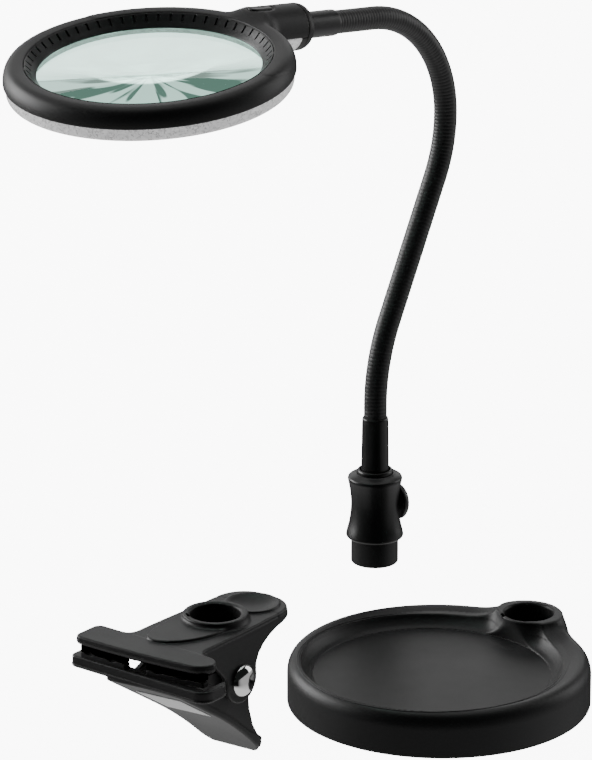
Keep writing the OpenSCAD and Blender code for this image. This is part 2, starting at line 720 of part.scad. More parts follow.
base_shell();
base_ballast();
base_cover();
base_foot_pad();
base_screws();
clamp_upper_jaw();
upper_jaw_pad();
pivot_pin();
pivot_caps();
torsion_spring();
clamp_lower_jaw();
lower_jaw_pad();
clamp_label();
plug();
grip();
collar_ring();
swivel_bush();
stem_screws();
power_inlet();
inlet_jack();
lower_ferrule();
ferrule_clip();
ferrule_cable();
gooseneck_01();
gooseneck_02();
gooseneck_03();
gooseneck_04();
gooseneck_05();
gooseneck_06();
gooseneck_07();
gooseneck_08();
gooseneck_09();
gooseneck_10();
gooseneck_11();
gooseneck_12();
upper_ferrule();
neck_collar();
head_housing();
lens_ring();
lens();
lens_carrier();
led_board();
leds();
diffuser();
neck_cover();
head_screws();
power_button();
switch_body();
switch_board();
head_cable();
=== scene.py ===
"""The looks of the magnifying lamp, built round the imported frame.

Every shape is made in millimetres in the local frame of the part it belongs to, and placed in metres in the
shared frame. Moulded parts are distance fields that surface_net() skins. Turned parts are revolved profiles.
"""

import math

import bmesh
import bpy
import numpy as np
from mathutils import Matrix, Vector


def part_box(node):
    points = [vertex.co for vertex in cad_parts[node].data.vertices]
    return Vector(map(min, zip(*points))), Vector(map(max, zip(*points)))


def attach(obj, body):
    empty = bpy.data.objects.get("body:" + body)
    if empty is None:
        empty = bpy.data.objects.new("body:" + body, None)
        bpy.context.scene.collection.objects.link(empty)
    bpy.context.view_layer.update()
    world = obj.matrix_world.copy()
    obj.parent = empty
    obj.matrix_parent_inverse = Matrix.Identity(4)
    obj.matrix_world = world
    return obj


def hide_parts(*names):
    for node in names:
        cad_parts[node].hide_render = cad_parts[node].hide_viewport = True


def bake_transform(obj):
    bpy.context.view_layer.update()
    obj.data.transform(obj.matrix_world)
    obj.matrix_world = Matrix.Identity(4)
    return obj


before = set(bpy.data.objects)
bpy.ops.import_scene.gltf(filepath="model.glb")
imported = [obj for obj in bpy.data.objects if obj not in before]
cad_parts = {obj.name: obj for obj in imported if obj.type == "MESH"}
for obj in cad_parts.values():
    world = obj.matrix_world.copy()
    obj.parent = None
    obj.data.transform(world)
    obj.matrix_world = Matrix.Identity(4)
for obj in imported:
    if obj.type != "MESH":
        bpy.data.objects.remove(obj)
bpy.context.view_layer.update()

MM = 0.001

# ---- Driving dimensions, in millimetres and degrees ----

BASE_R, RIM_H, TRAY_R, TRAY_Z, TRAY_SHIFT = 67, 20.7, 52.3, 14.5, 4.8
SOCKET_HEADING, SOCKET_REACH, SOCKET_TOP, SOCKET_R, BORE_R = 46, 59.5, 25, 14, 10.95
SOCKET_DEPTH = 12.4
# The key notch in a socket's rim: heading, half width, depth and reach on both sides of the bore's wall
NOTCH_HEADING, NOTCH_HALF, NOTCH_DEPTH, NOTCH_REACH = 195, 1.7, 1.7, 1.6
PLANE_HEADING, TUBE_R, UPPER_FERRULE_LEN = 45, 5.25, 20.3
SEGMENTS, RINGS_PER_SEGMENT = 12, 12
# The gooseneck's centre line: length and turn of each stretch, from the lower ferrule up
LEAN, TOP_TURN = 25.4, 83.8
STRETCHES = (
    (5.3, 0),
    (math.radians(LEAN) * 90.7, LEAN),
    (68, 0),
    (math.radians(LEAN) * 67, -LEAN),
    (math.radians(TOP_TURN) * 53.1, -TOP_TURN),
    (45.4, 0),
)
PATH_LEN = sum(length for length, _ in STRETCHES)
FLEX_LEN = PATH_LEN - UPPER_FERRULE_LEN
PITCH = FLEX_LEN / SEGMENTS
NECK_REACH, NECK_RISE, NECK_BEND, HEAD_ROLL = 89.8, 8, 12.3, 2.35
LENS_R, HEAD_R, RING_R, SLOTS = 50, 62.4, 53, 60
LENS_SAG, LENS_EDGE, LENS_EDGE_TOP = 3.6, 2, -0.7
NECK_R, NECK_WALL, SPLIT_Z, BUTTON_X, COLLAR_LEN, COVER_BAND = 10.5, 1.8, -2.5, -26.5, 5, 3.6
CLAMP_HEADING, PLATE_Z, PIVOT_X, PIVOT_Z = 52, 63, -8, 43
JAW_HALF, WAIST_HALF, FLARE = 34, 21.2, 0.15
LEVER_SLOPE, LEVER_ROLL, LEVER_X, LEVER_Z = 33.5, 3.3, -41.3, 41.9
# The camera's place in metres, its dip below level in degrees and its focal length on a 36 mm sensor
EYE, DIP, FOCAL = (-0.0630, -2.0417, 0.8501), 18.94, 236.8


# ---- Placing ----


def turn(axis, degrees):
    return Matrix.Rotation(math.radians(degrees), 4, axis)


def shift(x, y, z):
    return Matrix.Translation((x, y, z))


def middle(node):
    """Centre of a CAD node's box, in millimetres."""
    low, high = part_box(node)
    return (low + high) / 2 / MM


def walk(s):
    """(u, z, heading from upright) at distance s along the gooseneck's centre line, in its plane."""
    u = z = heading = 0.0
    for i, (length, bend) in enumerate(STRETCHES):
        step = s if i == len(STRETCHES) - 1 else min(s, length)
        a = math.radians(heading)
        if bend:
            b = math.radians(bend * step / length)
            radius = length / math.radians(bend)
            u += radius * (math.cos(a) - math.cos(a + b))
            z += radius * (math.sin(a + b) - math.sin(a))
            heading += bend * step / length
        else:
            u += step * math.sin(a)
            z += step * math.cos(a)
        s -= step
        if s <= 0:
            break
    return u, z, heading


STEM_AXIS = middle("plug")
STEM = shift(STEM_AXIS.x, STEM_AXIS.y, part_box("plug")[0].z / MM)
BASE = shift(middle("base_foot_pad").x, middle("base_foot_pad").y, 0)
FERRULE_TOP = round(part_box("lower_ferrule")[1].z / MM, 1) + 0.1
PLANE = shift(STEM_AXIS.x, STEM_AXIS.y, FERRULE_TOP) @ turn("Z", PLANE_HEADING)


def on_path(s):
    """Frame at distance s along the centre line, with +Z along it."""
    u, z, heading = walk(s)
    return PLANE @ shift(u, 0, z) @ turn("Y", heading)


NECK = on_path(PATH_LEN) @ turn("Y", 90) @ turn("X", HEAD_ROLL)
HEAD_IN_NECK = turn("Y", -NECK_BEND) @ shift(-NECK_REACH, 0, NECK_RISE)
HEAD = NECK @ HEAD_IN_NECK
PIVOT = middle("pivot_pin")
CLAMP = shift(*PIVOT) @ turn("Z", CLAMP_HEADING) @ shift(-PIVOT_X, 0, -PIVOT_Z)
LEVER_IN_CLAMP = shift(LEVER_X, 0, LEVER_Z) @ turn("Y", LEVER_SLOPE)


# ---- Mesh helpers ----


def add_mesh(name, points, faces, place, material, normals=None, sharp=35):
    """A smooth-shaded mesh from points in place's millimetres."""
    matrix = np.array(place)
    world = (np.asarray(points, float) @ matrix[:3, :3].T + matrix[:3, 3]) * MM
    mesh = bpy.data.meshes.new(name)
    mesh.from_pydata(world.tolist(), [], [list(f) for f in faces])
    mesh.validate()
    mesh.shade_smooth()
    if normals is None:
        clean = bmesh.new()
        clean.from_mesh(mesh)
        bmesh.ops.remove_doubles(clean, verts=clean.verts, dist=1e-7)
        bmesh.ops.recalc_face_normals(clean, faces=clean.faces)
        clean.to_mesh(mesh)
        clean.free()
        mesh.set_sharp_from_angle(angle=math.radians(sharp))
    else:
        mesh.normals_split_custom_set_from_vertices((normals @ matrix[:3, :3].T).tolist())
    mesh.materials.append(material)
    obj = bpy.data.objects.new(name, mesh)
    bpy.context.scene.collection.objects.link(obj)
    if normals is None:
        crisp = obj.modifiers.new("flat_faces", "WEIGHTED_NORMAL")
        crisp.keep_sharp = True
    return obj


def show(obj, body, slot, *nodes):
    """Puts a piece on its body and hides the CAD nodes it stands for. The slot argument is not used."""
    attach(obj, body)
    if nodes:
        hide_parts(*nodes)
    return obj


def rounded(corners, closed=True, steps=5):
    """Turns (r, z) or (r, z, fillet) corners into points, with an arc at each corner that has a fillet."""
    out, n = [], len(corners)
    for i, corner in enumerate(corners):
        here = np.array(corner[:2], float)
        if len(corner) < 3 or (not closed and i in (0, n - 1)):
            out.append(tuple(here))
            continue
        before = np.array(corners[i - 1][:2], float) - here
        after = np.array(corners[(i + 1) % n][:2], float) - here
        reach = min(corner[2], 0.49 * np.hypot(*before), 0.49 * np.hypot(*after))
        start = here + before / np.hypot(*before) * reach
        end = here + after / np.hypot(*after) * reach
        for t in np.linspace(0, 1, steps):
            out.append(tuple((1 - t) ** 2 * start + 2 * t * (1 - t) * here + t * t * end))
    return out


def revolve(name, corners, place, material, sides=128, closed=True, **options):
    """A profile of (r, z) corners turned about Z."""
    profile = np.array(rounded(corners, closed))
    angle = 2 * np.pi * np.arange(sides) / sides
    points = np.stack([
        np.outer(profile[:, 0], np.cos(angle)),
        np.outer(profile[:, 0], np.sin(angle)),
        np.repeat(profile[:, 1:], sides, 1),
    ], -1).reshape(-1, 3)
    rows = len(profile) if closed else len(profile) - 1
    return add_mesh(name, points, grid_faces(rows, len(profile), sides), place, material, **options)


def grid_faces(rows, count, sides):
    """Quads between neighbouring rings of a grid; rows == count closes the grid both ways."""
    return [
        (i * sides + j, i * sides + (j + 1) % sides,
         (i + 1) % count * sides + (j + 1) % sides, (i + 1) % count * sides + j)
        for i in range(rows) for j in range(sides)
    ]


def tube(name, line, radius, place, material, sides=24, hollow=0.0):
    """A round tube along a line of points, closed at both ends. radius is a number or one per point."""
    line = np.asarray(line, float)
    ahead = np.gradient(line, axis=0)
    ahead /= np.linalg.norm(ahead, axis=1)[:, None]
    across = np.cross(ahead[0], (0.31, 0.95, 0.1))
    frames = []
    for direction in ahead:
        across = across - direction * (across @ direction)
        across /= np.linalg.norm(across)
        frames.append((across, np.cross(direction, across)))
    side, up = np.array([f[0] for f in frames]), np.array([f[1] for f in frames])
    angle = 2 * np.pi * np.arange(sides) / sides
    radius = np.broadcast_to(radius, len(line)).astype(float)

    def ring(centre, r, i):
        return centre + r * (np.outer(np.cos(angle), side[i]) + np.outer(np.sin(angle), up[i]))

    rings = [ring(line[i], radius[i], i) for i in range(len(line))]
    if hollow:
        rings += [ring(line[i], hollow, i) for i in range(len(line) - 1, -1, -1)]
        faces = grid_faces(len(rings), len(rings), sides)
    else:
        rings = [ring(line[0], 0, 0)] + rings + [ring(line[-1], 0, len(line) - 1)]
        faces = grid_faces(len(rings) - 1, len(rings), sides)
    return add_mesh(name, np.concatenate(rings), faces, place, material)


# ---- Distance fields: negative inside, in millimetres ----


def smooth_min(a, b, k):
    h = np.clip(0.5 + 0.5 * (b - a) / k, 0, 1)
    return b * (1 - h) + a * h - k * h * (1 - h)


def smooth_max(a, b, k):
    return -smooth_min(-a, -b, k)


def corner(a, b, r):
    """Both a < 0 and b < 0, with the edge between them rounded to radius r."""
    a, b = a + r, b + r
    return np.hypot(np.maximum(a, 0), np.maximum(b, 0)) + np.minimum(np.maximum(a, b), 0) - r


def oblong(x, y, half_x, half_y, r):
    return corner(np.abs(x) - half_x, np.abs(y) - half_y, r)


def slab(plan, z, low, high, r):
    """A plan outline given thickness from low to high, with rounded edges."""
    return corner(plan, np.abs(z - (low + high) / 2) - (high - low) / 2, r)


def rise(x, x0, x1):
    """Smooth step from 0 at x0 to 1 at x1."""
    t = np.clip((x - x0) / (x1 - x0), 0, 1)
    return t * t * (3 - 2 * t)


def surface_net(field, low, high, step, settle=6):
    """Skins field's zero level with quads: one point per crossed cell, settled onto the surface."""
    low = np.array(low, float)
    count = np.ceil((np.array(high) - low) / step).astype(int) + 1
    axes = [low[i] + step * np.arange(count[i]) for i in range(3)]
    value = field(*np.meshgrid(*axes, indexing="ij"))
    cells = count - 1
    total, hits, quads = np.zeros((3, cells.prod())), np.zeros(cells.prod()), []
    for a in range(3):
        b, c = (a + 1) % 3, (a + 2) % 3
        unit = np.eye(3, dtype=int)
        first = value[tuple(slice(0, -1) if i == a else slice(None) for i in range(3))]
        second = value[tuple(slice(1, None) if i == a else slice(None) for i in range(3))]
        at = np.argwhere((first < 0) != (second < 0))
        at = at[(at[:, b] > 0) & (at[:, b] < cells[b]) & (at[:, c] > 0) & (at[:, c] < cells[c])]
        v0, v1 = first[tuple(at.T)], second[tuple(at.T)]
        crossing = low + step * (at + (v0 / (v0 - v1))[:, None] * unit[a])
        around = [at, at - unit[b], at - unit[b] - unit[c], at - unit[c]]
        ids = np.stack([np.ravel_multi_index(cell.T, cells) for cell in around], 1)
        for j in range(4):
            hits += np.bincount(ids[:, j], minlength=len(hits))
            for i in range(3):
                total[i] += np.bincount(ids[:, j], crossing[:, i], minlength=len(hits))
        quads.append(np.where((v0 < 0)[:, None], ids, ids[:, ::-1]))
    used = np.flatnonzero(hits)
    lookup = np.full(len(hits), -1)
    lookup[used] = np.arange(len(used))
    points = (total[:, used] / hits[used]).T
    reach = 0.02 * step
    for _ in range(settle):
        slope = np.stack([
            (field(*(points + reach * e).T) - field(*(points - reach * e).T)) / (2 * reach)
            for e in np.eye(3)
        ], 1)
        steepness = np.maximum((slope ** 2).sum(1), 1e-6)
        move = -field(*points.T)[:, None] * slope / steepness[:, None]
        length = np.maximum(np.linalg.norm(move, axis=1), 1e-9)
        points = points + move * np.minimum(1, 0.4 * step / length)[:, None]
    normals = slope / np.sqrt(steepness)[:, None]
    return points, lookup[np.concatenate(quads)], normals


def moulding(name, field, low, high, step, place, material):
    """A moulded part from its distance field."""
    step = step
    points, faces, normals = surface_net(field, low, high, step)
    return add_mesh(name, points, faces, place, material, normals=normals)


# ---- Materials ----


def put(tree, kind, settings=None, **inputs):
    """Adds a node. Inputs are values or sockets, named with _ for each space, or i0, i1 and so on."""
    node = tree.nodes.new(kind)
    for key, value in (settings or {}).items():
        setattr(node, key, value)
    for key, value in inputs.items():
        by_index = key[0] == "i" and key[1:].isdigit()
        socket = node.inputs[int(key[1:]) if by_index else key.replace("_", " ")]
        if isinstance(value, bpy.types.NodeSocket):
            tree.links.new(value, socket)
        else:
            socket.default_value = value
    return node


def new_material(name):
    """A material with its Principled shader and the piece's own coordinates."""
    material = bpy.data.materials.new(name)
    material.use_nodes = True
    tree = material.node_tree
    shader = tree.nodes["Principled BSDF"]
    place = put(tree, "ShaderNodeTexCoord").outputs["Object"]
    return material, tree, shader, place


def mix(tree, factor, a, b):
    """Colour or number between a and b."""
    node = put(tree, "ShaderNodeMix", {"data_type": "RGBA"})
    for index, value in ((0, factor), (6, a), (7, b)):
        if isinstance(value, bpy.types.NodeSocket):
            tree.links.new(value, node.inputs[index])
        else:
            node.inputs[index].default_value = value
    return node.outputs[2]


def spread(tree, value, low, high, out_low=0.0, out_high=1.0):
    node = put(tree, "ShaderNodeMapRange", Value=value, From_Min=low, From_Max=high,
               To_Min=out_low, To_Max=out_high)
    return node.outputs["Result"]


def noise(tree, place, scale, detail=3.0):
    return put(tree, "ShaderNodeTexNoise", Vector=place, Scale=scale, Detail=detail).outputs["Fac"]


def grey(value, tint=(1, 1, 1)):
    return (value * tint[0], value * tint[1], value * tint[2], 1)


def plastic(name, colour, rough, grain=2600.0, grain_depth=0.022, wear=0.035, shine=0.5):
    """Moulded plastic: fine spark-eroded grain, patchy sheen and paler worn edges."""
    material, tree, shader, place = new_material(name)
    patches = noise(tree, place, 38.0, 5.0)
    fine = noise(tree, place, grain, 2.0)
    pebble = put(tree, "ShaderNodeTexVoronoi", {"feature": "SMOOTH_F1"}, Vector=place, Scale=grain * 0.55)
    edge = spread(tree, put(tree, "ShaderNodeNewGeometry").outputs["Pointiness"], 0.52, 0.6)
    worn = put(tree, "ShaderNodeMath", {"operation": "MULTIPLY"}, i0=edge, i1=patches).outputs[0]
    body = mix(tree, patches, grey(colour * 0.92), grey(colour * 1.1, (1, 1, 1.03)))
    tree.links.new(mix(tree, worn, body, grey(colour + wear)), shader.inputs["Base Color"])
    tree.links.new(spread(tree, patches, 0.3, 0.7, rough - 0.02, rough + 0.03), shader.inputs["Roughness"])
    shader.inputs["Specular IOR Level"].default_value = shine
    height = put(tree, "ShaderNodeMath", {"operation": "ADD"}, i0=fine,
                 i1=pebble.outputs["Distance"]).outputs[0]
    bump = put(tree, "ShaderNodeBump", Strength=0.55, Distance=grain_depth * MM, Height=height)
    tree.links.new(bump.outputs["Normal"], shader.inputs["Normal"])
    return material


def metal(name, colour, rough, streak_scale=(1, 1, 1), streaks=900.0):
    """Bare or plated metal with fine tool marks, faint smudges and a little unevenness."""
    material, tree, shader, place = new_material(name)
    stretched = put(tree, "ShaderNodeMapping", Vector=place, Scale=streak_scale).outputs[0]
    marks = noise(tree, stretched, streaks, 4.0)
    smudge = noise(tree, place, 120.0, 3.0)
    tone = mix(tree, smudge, grey(colour * 0.9), grey(colour, (1, 0.995, 0.98)))
    tree.links.new(tone, shader.inputs["Base Color"])
    shader.inputs["Metallic"].default_value = 1.0
    tree.links.new(spread(tree, smudge, 0.35, 0.7, rough, rough + 0.09), shader.inputs["Roughness"])
    bump = put(tree, "ShaderNodeBump", Strength=0.25, Distance=0.004 * MM, Height=marks)
    tree.links.new(bump.outputs["Normal"], shader.inputs["Normal"])
    return material


def glass_with_painted_fans():
    """Pale green optical glass. Light caught between its faces is painted in as glowing fans of pale and dark
    green.
    """
    material, tree, shader, place = new_material("lens_glass")
    haze = noise(tree, place, 60.0, 2.0)
    from_axis = put(tree, "ShaderNodeVectorMath", {"operation": "SUBTRACT"}, i0=place,
                    i1=tuple(HEAD.translation * MM)).outputs[0]
    around = put(tree, "ShaderNodeTexGradient", {"gradient_type": "RADIAL"}, Vector=from_axis).outputs["Fac"]
    out = put(tree, "ShaderNodeVectorMath", {"operation": "LENGTH"}, i0=from_axis).outputs["Value"]
    polar = put(tree, "ShaderNodeCombineXYZ", X=around, Y=out).outputs[0]
    # Painted light: glowing fans and one pale wedge stand in for light caught inside the lens.
    painted_fan = spread(tree, noise(tree, polar, 22.0, 1.0), 0.46, 0.5)
    front = put(tree, "ShaderNodeMath", {"operation": "COMPARE"}, i0=around, i1=0.24, i2=0.035).outputs[0]
    pale = put(tree, "ShaderNodeMath", {"operation": "MAXIMUM"}, i0=painted_fan, i1=front).outputs[0]
    colour = mix(tree, pale, (0.17, 0.28, 0.235, 1), (1.0, 1.3, 1.2, 1))
    tree.links.new(colour, shader.inputs["Emission Color"])
    depth = put(tree, "ShaderNodeLightPath").outputs["Ray Depth"]
    second = put(tree, "ShaderNodeMath", {"operation": "COMPARE"}, i0=depth, i1=2.0, i2=0.5).outputs[0]
    caught = put(tree, "ShaderNodeMath", {"operation": "MULTIPLY"}, i0=second,
                 i1=put(tree, "ShaderNodeNewGeometry").outputs["Backfacing"]).outputs[0]
    # The painted fans glow only on back faces that a second ray reaches.
    tree.links.new(caught, shader.inputs["Emission Strength"])
    shader.inputs["Base Color"].default_value = (0.60, 0.85, 0.765, 1)
    shader.inputs["Transmission Weight"].default_value = 1.0
    shader.inputs["IOR"].default_value = 1.52
    tree.links.new(spread(tree, haze, 0.3, 0.8, 0.0, 0.012), shader.inputs["Roughness"])
    return material


def lens_seat_painted_light():
    """The rim that holds the lens, painted as glowing pale and dark green stretches: painted light that the
    lens throws about.
    """
    material, tree, shader, place = new_material("lens_seat_painted_light")
    painted_stretch = spread(tree, noise(tree, place, 42.0, 1.5), 0.47, 0.53)
    colour = mix(tree, painted_stretch, (0.03, 0.10, 0.07, 1), (0.85, 0.97, 0.92, 1))
    tree.links.new(colour, shader.inputs["Base Color"])
    tree.links.new(colour, shader.inputs["Emission Color"])
    # Painted light: the rim glows in its own colour though it is no lamp.
    shader.inputs["Emission Strength"].default_value = 1.4
    shader.inputs["Roughness"].default_value = 0.25
    return material


def glowing_glint_diffuser():
    """Frosted prismatic plastic: silver grey, with painted glints as a fine grain of bright and dark specks,
    and a painted glow.
    """
    material, tree, shader, place = new_material("diffuser_frost_painted_glow")
    cell = put(tree, "ShaderNodeTexVoronoi", Vector=place, Scale=1500.0)
    shade = put(tree, "ShaderNodeSeparateColor", Color=cell.outputs["Color"]).outputs[0]
    painted_glint = spread(tree, shade, 0.1, 0.9)
    cloud = noise(tree, place, 300.0, 4.0)
    tone = mix(tree, painted_glint, grey(0.22), grey(0.95, (1, 0.99, 1)))
    colour = mix(tree, cloud, tone, grey(0.7))
    tree.links.new(colour, shader.inputs["Base Color"])
    tree.links.new(colour, shader.inputs["Emission Color"])
    # Painted glow: the frosted plastic shines in its own colour though it is no lamp.
    shader.inputs["Emission Strength"].default_value = 0.6
    tree.links.new(spread(tree, painted_glint, 0, 1, 0.28, 0.6), shader.inputs["Roughness"])
    height = put(tree, "ShaderNodeMath", {"operation": "ADD"}, i0=cell.outputs["Distance"],
                 i1=cloud).outputs[0]
    bump = put(tree, "ShaderNodeBump", Strength=0.8, Distance=0.10 * MM, Height=height)
    tree.links.new(bump.outputs["Normal"], shader.inputs["Normal"])
    return material


def foil_label():
    """A blank printed label: silver-grey film with a faint fibre."""
    material, tree, shader, place = new_material("blank_label")
    fibre = noise(tree, place, 1400.0, 5.0)
    blotch = noise(tree, place, 110.0, 2.0)
    tone = mix(tree, fibre, grey(0.62), grey(0.88))
    tree.links.new(mix(tree, blotch, tone, grey(0.85)), shader.inputs["Base Color"])
    shader.inputs["Roughness"].default_value = 0.5
    shader.inputs["Metallic"].default_value = 0.1
    bump = put(tree, "ShaderNodeBump", Strength=0.3, Distance=0.02 * MM, Height=fibre)
    tree.links.new(bump.outputs["Normal"], shader.inputs["Normal"])
    return material


def flat_paint(name, colour, rough, glow=0.0):
    """Solder mask, white moulding and the like: a tinted surface with a faint orange peel. A glow above 0
    paints light in: the surface shines in its own colour though it is no lamp.
    """
    material, tree, shader, place = new_material(name)
    peel = noise(tree, place, 900.0, 3.0)
    dark = tuple(c * 0.85 for c in colour[:3]) + (1,)
    tree.links.new(mix(tree, peel, dark, colour), shader.inputs["Base Color"])
    shader.inputs["Roughness"].default_value = rough
    shader.inputs["Emission Color"].default_value = colour
    shader.inputs["Emission Strength"].default_value = glow
    bump = put(tree, "ShaderNodeBump", Strength=0.2, Distance=0.02 * MM, Height=peel)
    tree.links.new(bump.outputs["Normal"], shader.inputs["Normal"])
    return material


BLACK = plastic("black_moulding", 0.014, 0.46, shine=0.4)
SATIN = plastic("satin_moulding", 0.011, 0.36, grain=3200.0, grain_depth=0.012)
SKIN = plastic("gooseneck_skin", 0.014, 0.46, grain=3000.0, grain_depth=0.02, shine=0.55)
RUBBER = plastic("pad_rubber", 0.006, 0.6, grain=1500.0, grain_depth=0.05, shine=0.3)
BUTTON = plastic("button_moulding", 0.010, 0.42, grain=3400.0, grain_depth=0.01)
# Painted light: the white parts glow though they are no lamp.
GLOWING_WHITE = flat_paint("white_moulding_glow", grey(0.75), 0.45, glow=0.7)
BOARD = flat_paint("solder_mask", (0.02, 0.16, 0.07, 1), 0.35)
LED = flat_paint("led_phosphor", (0.85, 0.72, 0.3, 1), 0.4)
STEEL = metal("bright_steel", 0.55, 0.3)
CHROME = metal("chrome_plate", 0.86, 0.05)
GLASS = glass_with_painted_fans()
PAINTED_LIGHT_SEAT = lens_seat_painted_light()
GLOWING_FROST = glowing_glint_diffuser()
LABEL = foil_label()

CARRIED = {
    "base_ballast": STEEL, "base_cover": BLACK, "base_foot_pad": RUBBER, "base_screws": STEEL,
    "pivot_pin": STEEL, "swivel_bush": GLOWING_WHITE, "stem_screws": STEEL, "inlet_jack": STEEL,
    "ferrule_clip": STEEL, "ferrule_cable": RUBBER, "lens_carrier": GLOWING_WHITE, "led_board": BOARD,
    "leds": LED, "head_screws": STEEL, "switch_body": BLACK, "switch_board": BOARD, "head_cable": RUBBER,
}


def finish_carried_nodes():
    for node, material in CARRIED.items():
        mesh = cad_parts[node].data
        mesh.materials.clear()
        mesh.materials.append(material)
        mesh.set_sharp_from_angle(angle=math.radians(35))


# ---- Base ----


def socket_cut(x, y, z, top, notch_heading, mouth):
    """A socket's bore, wider at its mouth, joined to the key notch in its rim. x and y are from its axis."""
    way = math.radians(notch_heading)
    along = x * math.cos(way) + y * math.sin(way)
    aside = x * math.sin(way) - y * math.cos(way)
    bore = np.maximum(np.hypot(x, y) - BORE_R - mouth, top - SOCKET_DEPTH - z)
    notch = np.maximum(np.abs(aside) - NOTCH_HALF, top - NOTCH_DEPTH - z)
    notch = np.maximum(notch, np.abs(along - BORE_R) - NOTCH_REACH)
    return smooth_min(bore, notch, 0.3)


def base_field(x, y, z):
    """Weighted base: a round rim with a set-back tray, swelling up into the socket."""
    heading = math.radians(SOCKET_HEADING)
    sx, sy = SOCKET_REACH * math.cos(heading), SOCKET_REACH * math.sin(heading)
    tx, ty = -TRAY_SHIFT * math.cos(heading), -TRAY_SHIFT * math.sin(heading)
    reach = np.hypot(x, y)
    to_socket = np.hypot(x - sx, y - sy)
    to_tray = np.hypot(x - tx, y - ty)
    outline = smooth_min(reach - BASE_R, to_socket - SOCKET_R, 14)
    crest = 5.0
    swell = 3.4 * np.clip((30 - to_socket) / 15, 0, 1) ** 2
    band = 1.1 * np.clip((BASE_R - crest - reach) / 4.5, 0, 1) ** 1.3
    top = RIM_H + swell - band
    shoulder = 7.2 + 0.5 * swell
    across = np.maximum((outline + crest) / crest, 0)
    above = np.maximum((z - top + shoulder) / shoulder, 0)
    body = ((across ** 2.2 + above ** 2.2) ** (1 / 2.2) - 1) * crest
    wall_r = 57.6 - 4.4 * np.clip((19.8 - z) / 5.3, 0, 1) ** 1.5 + 0.55 * np.maximum(z - 19.8, 0)
    tray = smooth_max(0.85 * (to_tray - wall_r), TRAY_Z - z, 1.5)
    ring = smooth_max(body, -tray, 0.55)
    tube_r = SOCKET_R - 1.1 + 0.1 * np.clip(23.5 - z, 0, 9.5) ** 1.5
    tube = corner(to_socket - tube_r, z - SOCKET_TOP, 0.7)
    solid = smooth_min(ring, tube, 7)
    core = np.maximum(to_tray - TRAY_R + 0.09 * (z - TRAY_Z), TRAY_Z - z)
    solid = smooth_max(solid, -core, 0.9)
    solid = corner(solid, z - SOCKET_TOP, 0.5)
    mouth = 0.5 * rise(z, SOCKET_TOP - 1.0, SOCKET_TOP)
    solid = smooth_max(solid, -socket_cut(x - sx, y - sy, z, SOCKET_TOP, NOTCH_HEADING, mouth), 0.35)
    cavity = np.maximum(reach - (BASE_R - 2.4), z - (TRAY_Z - 2.4))
    cavity = smooth_max(cavity, -corner(to_socket - SOCKET_R, SOCKET_TOP - SOCKET_DEPTH - 2.4 - z, 0.5), 0.4)
    solid = smooth_max(solid, -cavity, 0.4)
    return corner(solid, 0.6 - z, 0.6)


def lip_line(name, radius, start, end):
    """Fine raised line along the tray's lip, laid on the rim. It sinks into the rim at both ends."""
    heading = math.radians(SOCKET_HEADING)
    t = np.linspace(0, 1, 180)
    angle = np.radians(start + (end - start) * t)
    sink = 0.35 * (1 - np.clip(np.minimum(t, 1 - t) / 0.12, 0, 1))
    x = -TRAY_SHIFT * math.cos(heading) + radius * np.cos(angle)
    y = -TRAY_SHIFT * math.sin(heading) + radius * np.sin(angle)
    low, high = np.full(len(t), TRAY_Z + 1.5), np.full(len(t), SOCKET_TOP + 1.0)
    for _ in range(24):
        half_way = (low + high) / 2
        inside = base_field(x, y, half_way) < 0
        low, high = np.where(inside, half_way, low), np.where(inside, high, half_way)
    return tube(name, np.stack([x, y, low + 0.04 - sink], 1), 0.22, BASE, BLACK, sides=10)


def build_base():
    body = moulding("base_moulding", base_field, (-69, -69, -1), (69, 69, 27), 0.62, BASE, BLACK)
    show(body, "base", "black_plastic", "base_shell")
    for i, radius in enumerate((57.9, 59.3)):
        show(lip_line(f"base_lip_line_{i}", radius, 78, 368), "base", "black_plastic")
    posts = [
        revolve(f"base_screw_post_{i}", [(1.15, 3.4), (2.4, 3.4, 0.2), (2.4, 12.3), (1.15, 12.3)],
                BASE @ turn("Z", 90 * i) @ shift(48.5, 0, 0), BLACK, sides=32)
        for i in range(4)
    ]
    for post in posts:
        show(post, "base", "black_plastic")


# ---- Stem ----


